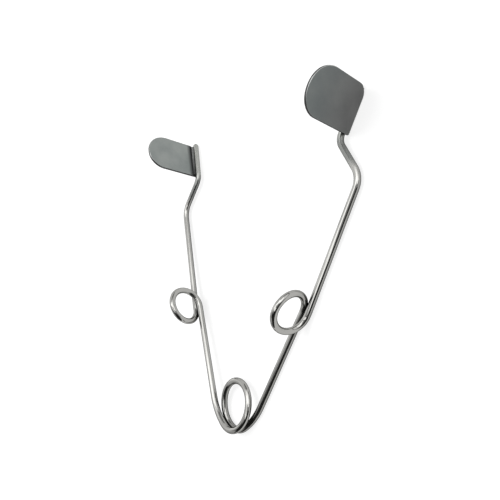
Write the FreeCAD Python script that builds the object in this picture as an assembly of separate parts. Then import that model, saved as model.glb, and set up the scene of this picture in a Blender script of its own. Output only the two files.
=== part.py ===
import FreeCAD, Part
import math
import os

# Spring-wire cheek dilator, lying open as it rests on a table.
# X runs across the instrument, Y from the coil to the blades, Z up from the table.
# The origin is where the coil's axis meets the table. Lengths are millimetres, angles degrees.

# Round wire that forms the spring, the arms and the tangs
wire_diameter = 2.0
wire_end_margin = 0.5            # how far the rounded wire end runs past the blade's far edge

# Coil at the bottom of the V, an oval seen from above, measured on the wire's centre line
coil_half_width = 6.4
coil_half_length = 7.25
coil_strand_gap = 0.7            # between the two strands that cross at the bottom
coil_end_angle = 59.0            # where the coil ends and an arm begins, below the cross axis
lead_enlargement = 2.8           # an arm leaves along the coil's own oval, this many times larger

# Arms, each measured along the wire's centre line
lower_arm_angle = 26.2           # direction from the middle plane
lower_arm_length = 31.1
upper_arm_angle = 22.2
upper_arm_length = 39.3
offset_angle = -32.6             # the short inward stretch below the blade
offset_length = 13.5
tang_angle = 20.8
tang_fall = 2.8                  # slope of the tang down to its end, from a bend that is lifted to suit
knee_bend_radius = 6.5           # where the upper arm turns into the inward stretch
tang_bend_radius = 4.2           # where the inward stretch turns into the tang
loop_exit_radius = 30.0          # soft bend where the upper arm leaves its loop

# Grip loop on each arm, one full turn that stands up from the plane of the V
loop_radius = 5.5
loop_strand_gap = 0.1            # between the wire's strands where they pass each other
loop_lean = 3.2                  # lean of the loop towards the middle plane

# Blade, a flat plate brazed on the outer side of each tang
blade_width = 14.0               # along the tang
blade_height = 21.2              # from the back edge to the free end, on the side away from the coil
blade_thickness = 0.8
blade_start = 2.0                # from the bend to the blade's near edge
blade_edge_inset = 0.1           # back edge short of the tang's underside
blade_splay = 2.5                # outward tilt of the plate about its tang
blade_near_radius = 5.7          # free end, corner on the coil's side
blade_far_radius = 7.9           # free end, corner away from the coil
blade_back_radius = 3.2          # back edge, corner away from the coil
blade_heel_radius = 0.5          # back edge, corner on the coil's side
blade_edge_round = 0.2
blade_least_flat = 0.4           # least straight edge left between the two free corners

# Braze that fills the wedge between the tang and the blade
braze_gap = 0.1
braze_upper_reach = 0.35         # up the blade, past the width of the wire
braze_edge_inset = 0.1           # short of the blade's back edge
braze_wetting_angle = 55.0       # how far the braze climbs round the wire
braze_end_inset = 0.5

wire_radius = wire_diameter / 2
coil_pitch = wire_diameter + coil_strand_gap
loop_step = wire_diameter + loop_strand_gap
blade_overhang = wire_radius - blade_edge_inset
blade_face = wire_radius + braze_gap

# Heights of the wire's centre where it leaves the coil
lower_layer = wire_radius
upper_layer = wire_radius + coil_pitch

SAME_POINT = 1e-6
SQUARE_TO_PLATE = 0.5            # largest cosine between the plate's thickness and one of its rims

X_AXIS = FreeCAD.Vector(1, 0, 0)
Y_AXIS = FreeCAD.Vector(0, 1, 0)
Z_AXIS = FreeCAD.Vector(0, 0, 1)
ORIGIN = FreeCAD.Vector(0, 0, 0)


def sine(degrees):
    return math.sin(math.radians(degrees))


def cosine(degrees):
    return math.cos(math.radians(degrees))


def line(start, end):
    return Part.LineSegment(start, end).toShape()


def oval_arc(center, first_axis, second_axis, start, end):
    """Arc of the ellipse that starts at first_axis and turns towards second_axis."""
    ellipse = Part.Ellipse(center + first_axis, center + second_axis, center)
    return Part.ArcOfEllipse(ellipse, math.radians(start), math.radians(end)).toShape()


def bend(corner, towards_start, towards_end, radius):
    """Arc that rounds a corner, given the unit vectors that leave it both ways."""
    half_angle = (math.pi - towards_start.getAngle(towards_end)) / 2
    setback = radius * math.tan(half_angle)
    middle = (towards_start + towards_end).normalize()
    depth = radius / math.cos(half_angle) - radius
    return Part.Arc(corner + towards_start * setback,
                    corner + middle * depth,
                    corner + towards_end * setback).toShape()


def rounded_edges(corners, radii, closed):
    """Straight edges through the corners, with an arc of the given radius at each one."""
    count = len(corners)
    arcs = {}
    for index, radius in enumerate(radii):
        if radius > 0:
            back = (corners[index - 1] - corners[index]).normalize()
            ahead = (corners[(index + 1) % count] - corners[index]).normalize()
            arcs[index] = bend(corners[index], back, ahead, radius)
    edges = []
    for index in range(count if closed else count - 1):
        following = (index + 1) % count
        start = arcs[index].lastVertex().Point if index in arcs else corners[index]
        end = arcs[following].firstVertex().Point if following in arcs else corners[following]
        if start.distanceToPoint(end) > SAME_POINT:
            edges.append(line(start, end))
        if following in arcs:
            edges.append(arcs[following])
    return edges


def wire_along(edges):
    """Round wire swept along a smooth path."""
    path = Part.Wire(edges)
    start = path.OrderedVertexes[0].Point
    first_edge = path.OrderedEdges[0]
    heading = first_edge.tangentAt(first_edge.Curve.parameter(start))
    section = Part.Face(Part.Wire(Part.Circle(start, heading, wire_radius).toShape()))
    return path.makePipe(section)


def arm_plane(drop):
    """Directions along and up from an arm's plane, which falls by drop towards the blade."""
    along = FreeCAD.Vector(0, cosine(drop), -sine(drop))
    up = FreeCAD.Vector(0, sine(drop), cosine(drop))
    return along, up


def direction(angle, along):
    """Unit vector in an arm's plane at an angle from the middle plane."""
    return X_AXIS * sine(angle) + along * cosine(angle)


def lead_end_angle():
    """Angle on the lead-in's oval at which it points along the lower arm."""
    slope = math.tan(math.radians(lower_arm_angle))
    return 90 - math.degrees(math.atan(slope * coil_half_length / coil_half_width))


def plate_axes():
    """Directions along, out of and up the right blade's plate."""
    along = direction(tang_angle, Y_AXIS)
    level = along.cross(Z_AXIS)
    outward = level * cosine(blade_splay) - Z_AXIS * sine(blade_splay)
    up = level * sine(blade_splay) + Z_AXIS * cosine(blade_splay)
    return along, outward, up


def tang_axes():
    """Directions along the tang, out of the plate, and up the plate square to the tang."""
    along, outward, up = plate_axes()
    tang = along * cosine(tang_fall) - up * sine(tang_fall)
    return tang, outward, outward.cross(tang)


def coil_bottom(layer):
    return FreeCAD.Vector(0, -coil_half_length, layer)


def coil_stretch(layer, along):
    """End of the coil in an arm's own plane, from its bottom to where the arm begins."""
    center = coil_bottom(layer) + along * coil_half_length
    return oval_arc(center, along * -coil_half_length, X_AXIS * coil_half_width,
                    0, 90 - coil_end_angle)


def lead_in(layer, along):
    """Arm's first stretch, on the coil's oval enlarged about the coil's end."""
    from_bottom = 90 - coil_end_angle
    center = coil_bottom(layer) + along * coil_half_length
    joint = (center + X_AXIS * (coil_half_width * sine(from_bottom))
             - along * (coil_half_length * cosine(from_bottom)))
    lead_center = joint + (center - joint) * lead_enlargement
    return oval_arc(lead_center,
                    along * (-coil_half_length * lead_enlargement),
                    X_AXIS * (coil_half_width * lead_enlargement),
                    from_bottom, lead_end_angle())


def half_turn(start, end, side):
    """Half of the coil, from one end of its length to the other, bulging to one side."""
    center = (start + end) * 0.5
    return oval_arc(center, start - center, X_AXIS * (coil_half_width * side), 0, 180)


def loop_edges(start, travel, up):
    """Full turn made of two half circles, which lean so that the wire passes beside itself."""
    outward = travel.cross(up)
    rise = up * cosine(loop_lean) - outward * sine(loop_lean)
    outward = travel.cross(rise)
    twist = math.degrees(math.asin(loop_step / (4 * loop_radius)))
    climb = (rise * cosine(twist) + outward * sine(twist)) * loop_radius
    fall = (outward * sine(twist) - rise * cosine(twist)) * loop_radius
    top = start + climb * 2
    end = top + fall * 2
    going_up = Part.Arc(start, start + climb + travel * loop_radius, top).toShape()
    going_down = Part.Arc(top, top + fall - travel * loop_radius, end).toShape()
    return [going_up, going_down], end


def arm_layout(layer, drop):
    """Path of one arm as edges for each stretch, and the tang's corner and direction."""
    along, up = arm_plane(drop)
    lower_direction = direction(lower_arm_angle, along)
    upper_direction = direction(upper_arm_angle, along)
    lead = lead_in(layer, along)
    lead_end = lead.lastVertex(True).Point
    loop_start = lead_end + lower_direction * lower_arm_length
    loop, loop_end = loop_edges(loop_start, lower_direction, up)
    exit_turn = math.radians(lower_arm_angle - upper_arm_angle)
    exit_corner = loop_end + lower_direction * (loop_exit_radius * math.tan(exit_turn / 2))
    knee = exit_corner + upper_direction * upper_arm_length
    tang_length = blade_start + blade_width + wire_end_margin - wire_radius
    tang = tang_axes()[0] * tang_length
    tang_corner = knee + direction(offset_angle, along) * offset_length - Z_AXIS * tang.z
    tang_end = tang_corner + tang
    upper = rounded_edges([loop_end, exit_corner, knee, tang_corner, tang_end],
                          [0, loop_exit_radius, knee_bend_radius, tang_bend_radius, 0], False)
    return {"lower": [lead, line(lead_end, loop_start)], "loop": loop, "upper": upper,
            "tang_corner": tang_corner, "tang_end": tang_end}


def left_arm_drop():
    """Fall, in degrees, of the left arm that brings its tang down to the right one's level."""
    corner = arm_layout(lower_layer, 0)["tang_corner"]
    return math.degrees(math.asin(coil_pitch / (corner.y + coil_half_length)))


def spring_coil(left_drop):
    """One full turn that falls from the left arm's height to the right arm's."""
    top = FreeCAD.Vector(0, coil_half_length, (lower_layer + upper_layer) / 2)
    left_along = arm_plane(left_drop)[0]
    right_along = arm_plane(0)[0]
    return wire_along([coil_stretch(upper_layer, left_along).mirror(ORIGIN, X_AXIS),
                       half_turn(coil_bottom(upper_layer), top, 1),
                       half_turn(top, coil_bottom(lower_layer), -1),
                       coil_stretch(lower_layer, right_along)])


def upper_arm(layout):
    rod = wire_along(layout["upper"])
    rounded_end = Part.makeSphere(wire_radius, layout["tang_end"])
    return rod.fuse(rounded_end).removeSplitter()


def placed(layout, axes, along, outward, up):
    """Point given from the tang's corner by its reach along three axes."""
    return layout["tang_corner"] + axes[0] * along + axes[1] * outward + axes[2] * up


def back_edge_height(along):
    """Height of the blade's back edge, which runs beside the tang, from the tang's corner."""
    return -blade_overhang / cosine(tang_fall) - along * math.tan(math.radians(tang_fall))


def blade(layout):
    """Flat plate with a broad rounded free end, standing up from its tang."""
    axes = plate_axes()
    blade_end = blade_start + blade_width
    free_end = back_edge_height(blade_end) + blade_height
    corners = [placed(layout, axes, blade_start, blade_face, back_edge_height(blade_start)),
               placed(layout, axes, blade_end, blade_face, back_edge_height(blade_end)),
               placed(layout, axes, blade_end, blade_face, free_end),
               placed(layout, axes, blade_start, blade_face, free_end)]
    far_radius = min(blade_far_radius, blade_width - blade_near_radius - blade_least_flat)
    radii = [blade_heel_radius, blade_back_radius, far_radius, blade_near_radius]
    outline = Part.Face(Part.Wire(rounded_edges(corners, radii, True)))
    plate = outline.extrude(axes[1] * blade_thickness)
    rims = [edge for edge in plate.Edges
            if abs(edge.tangentAt(edge.FirstParameter).dot(axes[1])) < SQUARE_TO_PLATE]
    return plate.makeFillet(blade_edge_round, rims)


def braze(layout):
    """Fillet of braze on both sides of the line where the tang meets the blade."""
    axes = tang_axes()
    first = blade_start + braze_end_inset
    climb_out = wire_radius * cosine(braze_wetting_angle)
    climb_up = wire_radius * sine(braze_wetting_angle)
    top = placed(layout, axes, first, blade_face, wire_radius + braze_upper_reach)
    bottom = placed(layout, axes, first, blade_face, braze_edge_inset - blade_overhang)
    upper_wire = placed(layout, axes, first, climb_out, climb_up)
    lower_wire = placed(layout, axes, first, climb_out, -climb_up)
    contact = placed(layout, axes, first, wire_radius, 0)
    section = Part.Wire([line(bottom, top),
                         line(top, upper_wire),
                         Part.Arc(upper_wire, contact, lower_wire).toShape(),
                         line(lower_wire, bottom)])
    length = blade_width - 2 * braze_end_inset
    return Part.Face(section).extrude(axes[0] * length)


def arm_parts(layout):
    """Pieces of one arm, in the right arm's form."""
    return {"lower_arm": wire_along(layout["lower"]),
            "grip_loop": wire_along(layout["loop"]),
            "upper_arm": upper_arm(layout),
            "blade": blade(layout),
            "braze": braze(layout)}


def build():
    left_drop = left_arm_drop()
    parts = {"spring_coil": spring_coil(left_drop)}
    for name, shape in arm_parts(arm_layout(lower_layer, 0)).items():
        parts["right_" + name] = shape
    for name, shape in arm_parts(arm_layout(upper_layer, left_drop)).items():
        parts["left_" + name] = shape.mirror(ORIGIN, X_AXIS)
    return parts


os.makedirs("parts", exist_ok=True)
for node, solid in build().items():
    solid.exportStep("parts/" + node + ".step")
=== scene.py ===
import math

import bmesh
import bpy
from mathutils import Matrix, Vector


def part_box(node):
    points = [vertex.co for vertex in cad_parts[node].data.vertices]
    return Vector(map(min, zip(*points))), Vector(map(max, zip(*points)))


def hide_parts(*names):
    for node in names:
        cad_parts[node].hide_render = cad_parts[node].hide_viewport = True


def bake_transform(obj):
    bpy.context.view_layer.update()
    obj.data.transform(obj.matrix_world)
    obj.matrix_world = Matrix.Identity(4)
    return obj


# Spring-wire cheek dilator on a white table. Metres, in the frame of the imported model:
# X runs across the instrument, Y from the coil to the blades, Z up from the table.

MM = 0.001
SIDES = {"right": 1, "left": -1}
WIRE_PARTS = ("lower_arm", "grip_loop", "upper_arm")

# Camera of the photograph, in millimetres, degrees and pixels of its 500 pixel frame
CAMERA_PLACE = (117.3, 25.6, 103.3)
CAMERA_AIM = (-2.35, 48.5, 0.0)
CAMERA_ROLL = -78.0
CAMERA_FOCAL_PIXELS = 490.3
CAMERA_NEAR = 5.0
CAMERA_FAR = 20000.0
PHOTO_PIXELS = 500
SENSOR_WIDTH = 36.0

# Directions of the wire's lines in the arms and the coil, and of the tangs, from +Y, and the
# blades' lean from upright, in degrees
ARM_ANGLE = 24.2
COIL_ANGLE = 90.0
TANG_ANGLE = 20.8
BLADE_SPLAY = 2.5

# Each half of the coil is one side of the ring across X, except where the halves cross, towards
# the ring's -Y end, where it is one layer in Z. CROSSING_SHARE is where the crossing starts, as a
# share of the ring's reach from its axis.
CROSSING_SHARE = 0.45

# Materials: colours are linear, noise scales are per metre, and a bump's depth is in millimetres.
# A pair of colours or of roughnesses is what a noise runs between.

# Wire: polished, with fine lines drawn along it. In millimetres along Y, it turns satin where it
# was bent and brazed, is duller between the knee and the tang, and lighter along the tang, where
# its painted nook shade is mostly left off.
WIRE_COLORS = ((0.334, 0.332, 0.318), (0.388, 0.385, 0.37))
WIRE_ROUGHNESS = (0.05, 0.09)
WIRE_EDGE_TINT = 0.3
WIRE_BUMP_DEPTH = 0.001
WIRE_BUMP_STRENGTH = 0.18
LINES_SCALE = 9000
LINES_STRETCH = 30.0
HAZE_SCALE = 350
SATIN_FROM = 63.0
SATIN_TO = 69.0
SATIN_ROUGHNESS = 0.2
JOG_FROM = 68.5
JOG_TO = 71.0
JOG_COLOR = (0.232, 0.238, 0.23)
TANG_FROM = 76.5
TANG_TO = 79.0
TANG_COLOR = (0.415, 0.422, 0.4)

# Painted shade: nooks within reach of other pieces, in millimetres, keep a share of the wire's
# colour. It rises from NOOK_SHADE to all of it over NOOK_OPEN, which is how open the nook is.
# Along the tang the painted shade is mostly left off, and it keeps more.
NOOK_REACH = 4.0
NOOK_SHADE = 0.1
NOOK_OPEN = (0.3, 0.95)
TANG_KEPT_SHARE = 0.88

# Blade: satin, with clouds that turn it from one colour of a pair to the other over MOTTLE_SPAN.
# Its inner face has painted shade and a painted dark reflection of the wire beside the braze, and
# its outer one is darker beside the tang than at its free end, both in millimetres above the
# tang's middle.
BLADE_TANG_COLORS = ((0.12, 0.121, 0.12), (0.146, 0.147, 0.145))
BLADE_FREE_COLORS = ((0.127, 0.141, 0.141), (0.16, 0.172, 0.168))
# Inner face: lighter, as a painted sheen
BLADE_INNER_SHEEN_COLORS = ((0.21, 0.228, 0.222), (0.27, 0.287, 0.277))
BLADE_ROUGHNESS = (0.34, 0.44)
BLADE_EDGE_TINT = 0.4
BLADE_BUMP_DEPTH = 0.008
BLADE_BUMP_STRENGTH = 0.35
GRAIN_SCALE = 9000
CLOUDS_SCALE = 130
MOTTLE_SPAN = (0.35, 0.65)
# Outer face: darker beside the tang, lighter towards the free end
FREE_END_FROM = 3.0
FREE_END_TO = 18.0
# Painted shade and a painted dark reflection of the wire, on the inner face beside the braze
BRAZE_SHADE_FROM = 1.3
BRAZE_SHADE_TO = 3.1
BRAZE_SHADE_COLOR = (0.022, 0.022, 0.024)

# Blade's rounded edges: painted shade next to the faces, a painted highlight there on the side
# away from the coil, and painted shade on the rim
FILLET_SHADE_COLOR = (0.07, 0.07, 0.07)
FILLET_HIGHLIGHT_COLOR = (0.42, 0.433, 0.425)
RIM_SHADE_COLOR = (0.065, 0.065, 0.065)

# Where each of the blade's regions starts and ends, as the cosine between the surface's normal
# and the way out of the outer face, or along the tang for the side away from the coil
INNER_SPAN = (-0.9, -0.5)
FILLET_SPAN = (0.9, 0.985)
RIM_SPAN = (0.15, 0.45)
AWAY_SPAN = (-0.5, -0.25)

# Braze: dull and lumpy, darkened by flux and painted crevice shade, more towards the coil, in
# millimetres along Y
BRAZE_COLORS = ((0.13, 0.134, 0.132), (0.26, 0.265, 0.26))
BRAZE_ROUGHNESS = (0.3, 0.55)
BRAZE_EDGE_TINT = 1.0
BRAZE_BUMP_DEPTH = 0.05
BRAZE_BUMP_STRENGTH = 0.6
LUMPS_SCALE = 1400
FLUX_SCALE = 900
HEEL_SHADE_FROM = 80.0
HEEL_SHADE_TO = 90.0
HEEL_SHADE_COLOR = (0.05, 0.051, 0.05)

# Studio: azimuth runs from +Y towards +X, elevation from the table, in degrees.
# Its distances and sizes are in metres.
WORLD_LEVEL = 0.65
FLOOR_RADIUS = 4.0
FLOOR_CORNERS = 96
FLOOR_COLOR = (0.34, 0.34, 0.34)
FLOOR_GLOW = 0.77
WHITE = (1, 1, 1)

# Cards for the reflections, where a nearer one covers a farther one:
# name, azimuths, elevations, distance, shade
CARDS = (
    ("top_light", (0, 360), (80, 90), 0.95, 2.35),
    ("key_window", (280, 382), (69, 80), 0.95, 3.2),
    ("key_window_edge", (276, 292), (60, 69), 0.95, 2.2),
    ("upper_wall", (292, 355), (59, 69), 0.95, 1.6),
    ("upper_wall_end", (355, 370), (50, 69), 0.95, 1.9),
    ("bright_reflector", (9, 64), (50, 76), 0.9, 3.0),
    ("white_reflector", (20, 56), (30, 50), 0.9, 2.2),
    ("white_reflector_side", (56, 84), (28, 52), 0.9, 2.6),
    ("low_reflector", (22, 56), (8, 30), 0.9, 1.3),
    ("low_reflector_side", (56, 76), (8, 28), 0.9, 1.5),
    ("camera_side", (76, 100), (-2, 60), 1.0, 0.52),
    ("camera_side_edge", (98, 118), (-2, 30), 0.99, 0.05),
    ("camera_side_top", (98, 118), (30, 54), 0.99, 0.16),
    ("back_window", (116, 140), (54, 70), 0.98, 2.3),
    ("back_window_top", (112, 158), (70, 80), 1.0, 2.6),
    ("dark_side", (138, 203), (-2, 63), 1.0, 0.03),
    ("dark_side_edge", (118, 138), (-2, 50), 1.0, 0.04),
    ("far_dark_side", (203, 232), (-2, 20), 1.0, 0.36),
    ("far_pale_side", (203, 232), (20, 42), 1.0, 0.75),
    ("far_dark_top", (200, 225), (42, 68), 0.98, 0.0),
    ("pale_corner", (232, 268), (-2, 42), 1.0, 0.84),
    ("dull_corner", (225, 262), (42, 60), 1.0, 0.5),
    ("high_corner", (200, 280), (70, 80), 0.98, 0.9),
    ("window_edge", (262, 300), (20, 62), 1.0, 1.25),
    ("window_foot", (274, 300), (-2, 20), 0.99, 2.1),
    ("pale_wall", (300, 355), (-2, 59), 1.0, 1.05),
    ("pale_wall_foot", (355, 382), (-2, 30), 1.0, 0.33),
    ("pale_wall_end", (355, 380), (30, 50), 1.0, 0.6),
    ("studio_sky", (0, 360), (-2, 90), 1.1, 0.64),
)
CARD_STEPS = 12


def direction(azimuth, elevation):
    """Unit vector towards a place in the studio."""
    a = math.radians(azimuth)
    e = math.radians(elevation)
    return Vector((math.sin(a) * math.cos(e), math.cos(a) * math.cos(e), math.sin(e)))


def between(ends, share):
    return ends[0] + (ends[1] - ends[0]) * share


def add_object(name, data):
    thing = bpy.data.objects.new(name, data)
    bpy.context.scene.collection.objects.link(thing)
    return thing


def add_mesh(name, vertices, faces):
    mesh = bpy.data.meshes.new(name)
    mesh.from_pydata(vertices, [], faces)
    return add_object(name, mesh)


def paint(thing, made):
    thing.data.materials.clear()
    thing.data.materials.append(made)


def material(name):
    """New node material and its tree."""
    made = bpy.data.materials.new(name)
    made.use_nodes = True
    made.node_tree.nodes.clear()
    return made, made.node_tree


def feed(tree, value, socket):
    """Links value to the socket if it is a socket itself, and else sets it there."""
    if isinstance(value, bpy.types.NodeSocket):
        tree.links.new(value, socket)
    elif socket.type == "RGBA":
        socket.default_value = (*value, 1)
    else:
        socket.default_value = value


def node(tree, kind, **values):
    """Node whose settings and inputs, named with _ for a space, get values or sockets."""
    made = tree.nodes.new(kind)
    for key, value in values.items():
        if hasattr(made, key) and key not in made.inputs:
            setattr(made, key, value)
        else:
            feed(tree, value, made.inputs[key.replace("_", " ")])
    return made


def calculated(tree, operation, *values):
    """Result of a maths operation on numbers or sockets."""
    made = node(tree, "ShaderNodeMath", operation=operation)
    for value, socket in zip(values, made.inputs):
        feed(tree, value, socket)
    return made.outputs[0]


def dotted(tree, vector, axis):
    """How far vector reaches along axis."""
    made = node(tree, "ShaderNodeVectorMath", operation="DOT_PRODUCT")
    feed(tree, vector, made.inputs[0])
    feed(tree, axis, made.inputs[1])
    return made.outputs["Value"]


def ranged(tree, value, low, high, start=0.3, end=0.7):
    """Runs from low to high as value goes from start to end, by default a noise's usual span."""
    made = node(tree, "ShaderNodeMapRange", Value=value, From_Min=start, From_Max=end,
                To_Min=low, To_Max=high)
    return made.outputs[0]


def rising(tree, value, start, end):
    """0 where value is below start, and 1 where it is above end."""
    return ranged(tree, value, 0.0, 1.0, start, end)


def falling(tree, value, start, end):
    """1 where value is below start, and 0 where it is above end."""
    return ranged(tree, value, 1.0, 0.0, start, end)


def mixed(tree, factor, first, second):
    """Colour that runs from first to second as factor goes from 0 to 1."""
    made = node(tree, "ShaderNodeMix", data_type="RGBA", Factor=factor)
    color_inputs = [socket for socket in made.inputs if socket.type == "RGBA"]
    feed(tree, first, color_inputs[0])
    feed(tree, second, color_inputs[1])
    return next(socket for socket in made.outputs if socket.type == "RGBA")


def noise(tree, place, scale, detail):
    made = node(tree, "ShaderNodeTexNoise", Vector=place, Scale=scale, Detail=detail)
    return made.outputs["Fac"]


def place_in_part(tree):
    return node(tree, "ShaderNodeTexCoord").outputs["Object"]


def place_along(tree, angle, stretch):
    """Place whose X runs along a line at angle from +Y, squeezed along it by stretch."""
    turned = node(tree, "ShaderNodeMapping", vector_type="TEXTURE", Vector=place_in_part(tree),
                  Rotation=(0, 0, math.radians(-90 - angle)), Scale=(stretch, 1, 1))
    return turned.outputs[0]


def towards_blades(tree):
    """How far a point lies from the coil's axis along Y."""
    return node(tree, "ShaderNodeSeparateXYZ", Vector=place_in_part(tree)).outputs["Y"]


def show(tree, shader):
    """Joins the shader to the material's or the world's output."""
    kind = "ShaderNodeOutputWorld" if shader.type == "BACKGROUND" else "ShaderNodeOutputMaterial"
    node(tree, kind, Surface=shader.outputs[0])


def show_metal(tree, color, roughness, edge_tint, bump, depth, strength):
    """Metal with a bump that is depth millimetres deep."""
    relief = node(tree, "ShaderNodeBump", Height=bump, Distance=depth * MM, Strength=strength)
    metal = node(tree, "ShaderNodeBsdfPrincipled", Base_Color=color, Metallic=1.0,
                 Roughness=roughness, Specular_Tint=(edge_tint,) * 3, Normal=relief.outputs[0])
    show(tree, metal)


def make_camera():
    place = Vector(CAMERA_PLACE) * MM
    aim = Vector(CAMERA_AIM) * MM
    back = (place - aim).normalized()
    level = Vector((0, 0, 1)).cross(back).normalized()
    roll = math.radians(CAMERA_ROLL)
    right = level * math.cos(roll) + back.cross(level) * math.sin(roll)
    up = back.cross(right)
    data = bpy.data.cameras.new("camera")
    data.sensor_width = SENSOR_WIDTH
    data.lens = CAMERA_FOCAL_PIXELS / PHOTO_PIXELS * SENSOR_WIDTH
    data.clip_start = CAMERA_NEAR * MM
    data.clip_end = CAMERA_FAR * MM
    camera = add_object("camera", data)
    camera.matrix_world = Matrix(((right.x, up.x, back.x, place.x),
                                  (right.y, up.y, back.y, place.y),
                                  (right.z, up.z, back.z, place.z),
                                  (0, 0, 0, 1)))
    bpy.context.scene.camera = camera


def seen_directly(tree):
    """1 where the camera, or a reflection or a clear piece, looks at the floor or the sky."""
    path = node(tree, "ShaderNodeLightPath").outputs
    either = calculated(tree, "MAXIMUM", path["Is Camera Ray"], path["Is Glossy Ray"])
    return calculated(tree, "MAXIMUM", either, path["Is Transmission Ray"])


def make_world():
    world = bpy.data.worlds.new("studio")
    bpy.context.scene.world = world
    world.use_nodes = True
    tree = world.node_tree
    tree.nodes.clear()
    level = calculated(tree, "MAXIMUM", seen_directly(tree), WORLD_LEVEL)
    show(tree, node(tree, "ShaderNodeBackground", Color=WHITE, Strength=level))


def make_floor():
    """White table that glows where it is seen, so that its shadows stay soft and pale."""
    turns = [math.tau * i / FLOOR_CORNERS for i in range(FLOOR_CORNERS)]
    ring = [(FLOOR_RADIUS * math.cos(turn), FLOOR_RADIUS * math.sin(turn), 0) for turn in turns]
    floor = add_mesh("floor", ring, [tuple(range(FLOOR_CORNERS))])
    made, tree = material("floor_white")
    paper = node(tree, "ShaderNodeBsdfDiffuse", Color=FLOOR_COLOR)
    glow = calculated(tree, "MULTIPLY", seen_directly(tree), FLOOR_GLOW)
    shine = node(tree, "ShaderNodeEmission", Color=WHITE, Strength=glow)
    both = node(tree, "ShaderNodeAddShader")
    feed(tree, paper.outputs[0], both.inputs[0])
    feed(tree, shine.outputs[0], both.inputs[1])
    show(tree, both)
    paint(floor, made)


def add_softbox(name, azimuth, elevation, distance, width, height, power):
    """Rectangular light that faces the coil, and that reflections don't see."""
    data = bpy.data.lights.new(name, "AREA")
    data.shape = "RECTANGLE"
    data.size = width
    data.size_y = height
    data.energy = power
    lamp = add_object(name, data)
    towards = direction(azimuth, elevation)
    lamp.location = towards * distance
    lamp.visible_glossy = False
    lamp.rotation_mode = "QUATERNION"
    lamp.rotation_quaternion = towards.to_track_quat("Z", "Y")


def add_card(name, azimuths, elevations, distance, shade):
    """Card of one shade over a patch of the studio's sky, for reflections.

    The camera, the soft light and the shadows don't see it."""
    corners = CARD_STEPS + 1
    vertices = []
    for j in range(corners):
        elevation = between(elevations, j / CARD_STEPS)
        for i in range(corners):
            azimuth = between(azimuths, i / CARD_STEPS)
            vertices.append(direction(azimuth, elevation) * distance)
    faces = []
    for j in range(CARD_STEPS):
        for i in range(CARD_STEPS):
            first = j * corners + i
            faces.append((first, first + 1, first + corners + 1, first + corners))
    card = add_mesh(name, vertices, faces)
    made, tree = material(name)
    show(tree, node(tree, "ShaderNodeEmission", Color=(shade, shade, shade), Strength=1.0))
    paint(card, made)
    card.visible_camera = False
    card.visible_diffuse = False
    card.visible_shadow = False


def make_studio():
    make_world()
    make_floor()
    add_softbox("key_softbox", azimuth=-60, elevation=64, distance=1.2,
                width=0.8, height=0.8, power=7.4)
    for card in CARDS:
        add_card(*card)


def with_painted_shade(tree, color, spared):
    """Colour with painted shade in the nooks between pieces, mostly left off where the given mask
    is 1.
    """
    nook = node(tree, "ShaderNodeAmbientOcclusion", samples=8, Distance=NOOK_REACH * MM)
    kept = ranged(tree, nook.outputs["AO"], NOOK_SHADE, 1.0, *NOOK_OPEN)
    kept_on_tang = calculated(tree, "MULTIPLY", spared, TANG_KEPT_SHARE)
    share = calculated(tree, "MAXIMUM", kept, kept_on_tang)
    made = node(tree, "ShaderNodeVectorMath", operation="SCALE", Scale=share)
    feed(tree, color, made.inputs[0])
    return made.outputs["Vector"]


def wire_steel(name, angle):
    """Polished stainless spring wire, with fine lines drawn along it at angle from +Y."""
    made, tree = material(name)
    lines = noise(tree, place_along(tree, angle, LINES_STRETCH), LINES_SCALE, detail=3)
    haze = noise(tree, place_in_part(tree), HAZE_SCALE, detail=4)
    reach = towards_blades(tree)
    satin = ranged(tree, reach, 0.0, SATIN_ROUGHNESS, SATIN_FROM * MM, SATIN_TO * MM)
    rough = calculated(tree, "ADD", ranged(tree, haze, *WIRE_ROUGHNESS), satin)
    jog = rising(tree, reach, JOG_FROM * MM, JOG_TO * MM)
    tang = rising(tree, reach, TANG_FROM * MM, TANG_TO * MM)
    color = mixed(tree, haze, *WIRE_COLORS)
    color = mixed(tree, jog, color, JOG_COLOR)
    color = mixed(tree, tang, color, TANG_COLOR)
    # Base colour with painted shade in the nooks, mostly left off along the tang
    show_metal(tree, with_painted_shade(tree, color, tang), rough, WIRE_EDGE_TINT,
               lines, WIRE_BUMP_DEPTH, WIRE_BUMP_STRENGTH)
    return made


def blade_directions(side):
    """Unit vectors along a blade's tang, out of its outer face and up the blade."""
    angle = math.radians(TANG_ANGLE)
    splay = math.radians(BLADE_SPLAY)
    tang = Vector((side * math.sin(angle), math.cos(angle), 0))
    level = Vector((side * math.cos(angle), -math.sin(angle), 0))
    up = Vector((0, 0, 1))
    return (tang, level * math.cos(splay) - up * math.sin(splay),
            level * math.sin(splay) + up * math.cos(splay))


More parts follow.
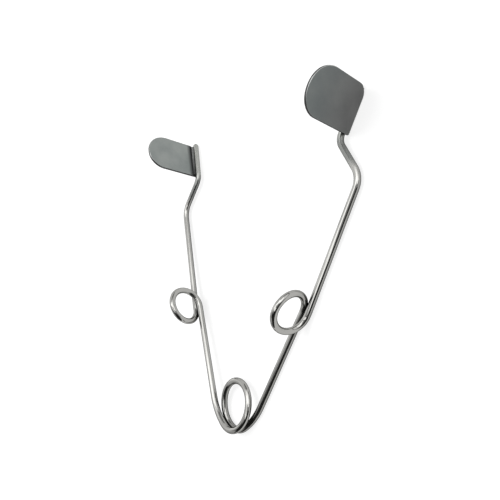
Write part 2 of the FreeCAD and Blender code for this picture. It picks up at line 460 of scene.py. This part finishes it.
def blade_steel(side_name, side):
    """Satin stainless plate: dark outer face, painted sheen on the inner one, painted shade beside
    the braze.
    """
    made, tree = material(side_name + "_blade_steel")
    along_tang, outward, rise = blade_directions(side)
    braze_low, braze_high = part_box(side_name + "_braze")
    tang_height = rise.dot((braze_low + braze_high) / 2)

    place = place_in_part(tree)
    grain = noise(tree, place, GRAIN_SCALE, detail=3)
    clouds = noise(tree, place, CLOUDS_SCALE, detail=5)
    mottle = rising(tree, clouds, *MOTTLE_SPAN)
    height = calculated(tree, "SUBTRACT", dotted(tree, place, rise), tang_height)
    braze_shade = falling(tree, height, BRAZE_SHADE_FROM * MM, BRAZE_SHADE_TO * MM)
    free_end = rising(tree, height, FREE_END_FROM * MM, FREE_END_TO * MM)

    normal = node(tree, "ShaderNodeTexCoord").outputs["Normal"]
    facing = dotted(tree, normal, outward)
    flatness = calculated(tree, "ABSOLUTE", facing)
    inner = falling(tree, facing, *INNER_SPAN)
    fillet = falling(tree, flatness, *FILLET_SPAN)
    rim = falling(tree, flatness, *RIM_SPAN)
    away_from_coil = rising(tree, dotted(tree, normal, along_tang), *AWAY_SPAN)

    tang_end = mixed(tree, mottle, *BLADE_TANG_COLORS)
    color = mixed(tree, free_end, tang_end, mixed(tree, mottle, *BLADE_FREE_COLORS))
    # Painted sheen: the inner face is lighter than the outer one
    color = mixed(tree, inner, color, mixed(tree, mottle, *BLADE_INNER_SHEEN_COLORS))
    # Painted shade and a painted dark reflection of the wire beside the braze, on the inner face
    color = mixed(tree, calculated(tree, "MULTIPLY", braze_shade, inner), color, BRAZE_SHADE_COLOR)
    # Painted shade on the rounded edges, and a painted highlight on their side away from the coil
    color = mixed(tree, fillet, color, FILLET_SHADE_COLOR)
    fillet_highlight = calculated(tree, "MULTIPLY", fillet, away_from_coil)
    color = mixed(tree, fillet_highlight, color, FILLET_HIGHLIGHT_COLOR)
    color = mixed(tree, rim, color, RIM_SHADE_COLOR)
    show_metal(tree, color, ranged(tree, clouds, *BLADE_ROUGHNESS), BLADE_EDGE_TINT,
               grain, BLADE_BUMP_DEPTH, BLADE_BUMP_STRENGTH)
    return made


def braze_metal():
    """Dull cast skin of the braze, darkened by flux and painted crevice shade, more towards the
    coil.
    """
    made, tree = material("braze")
    lumps = noise(tree, place_in_part(tree), LUMPS_SCALE, detail=4)
    flux = noise(tree, place_in_part(tree), FLUX_SCALE, detail=3)
    heel_shade = falling(tree, towards_blades(tree), HEEL_SHADE_FROM * MM, HEEL_SHADE_TO * MM)
    # Painted shade at the braze's end towards the coil
    color = mixed(tree, heel_shade, mixed(tree, flux, *BRAZE_COLORS), HEEL_SHADE_COLOR)
    show_metal(tree, color, ranged(tree, lumps, *BRAZE_ROUGHNESS), BRAZE_EDGE_TINT,
               lumps, BRAZE_BUMP_DEPTH, BRAZE_BUMP_STRENGTH)
    return made


def coil_half(nodes, side_name, made):
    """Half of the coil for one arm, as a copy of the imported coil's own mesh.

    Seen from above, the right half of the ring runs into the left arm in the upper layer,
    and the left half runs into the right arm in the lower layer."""
    half = add_object(side_name + "_coil_half", nodes["spring_coil"].data.copy())
    low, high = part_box("spring_coil")
    split_height = (low.z + high.z) / 2
    cells = bmesh.new()
    cells.from_mesh(half.data)
    spare = []
    for face in cells.faces:
        middle = face.calc_center_median()
        if middle.y < CROSSING_SHARE * low.y:
            owner = "left" if middle.z > split_height else "right"
        else:
            owner = "left" if middle.x > 0 else "right"
        if owner != side_name:
            spare.append(face)
    bmesh.ops.delete(cells, geom=spare, context="FACES")
    cells.to_mesh(half.data)
    cells.free()
    paint(half, made)
    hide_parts("spring_coil")
    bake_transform(half)


def dress_arm(nodes, side_name, side, braze):
    """Materials of one arm's pieces, and its half of the coil."""
    wire = wire_steel(side_name + "_wire_steel", ARM_ANGLE * side)
    for part in WIRE_PARTS:
        paint(nodes[side_name + "_" + part], wire)
    paint(nodes[side_name + "_blade"], blade_steel(side_name, side))
    paint(nodes[side_name + "_braze"], braze)
    coil_half(nodes, side_name, wire_steel(side_name + "_coil_steel", COIL_ANGLE * side))


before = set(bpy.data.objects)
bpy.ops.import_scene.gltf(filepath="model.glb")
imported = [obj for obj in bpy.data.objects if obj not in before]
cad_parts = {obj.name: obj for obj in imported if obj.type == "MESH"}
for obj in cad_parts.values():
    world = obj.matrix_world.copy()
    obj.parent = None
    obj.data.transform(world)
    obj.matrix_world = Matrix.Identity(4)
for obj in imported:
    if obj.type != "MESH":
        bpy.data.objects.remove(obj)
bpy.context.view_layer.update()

bpy.context.scene.view_settings.view_transform = "Standard"
make_camera()
make_studio()

shared_braze = braze_metal()
for name_of_side, sign in SIDES.items():
    dress_arm(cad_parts, name_of_side, sign, shared_braze)
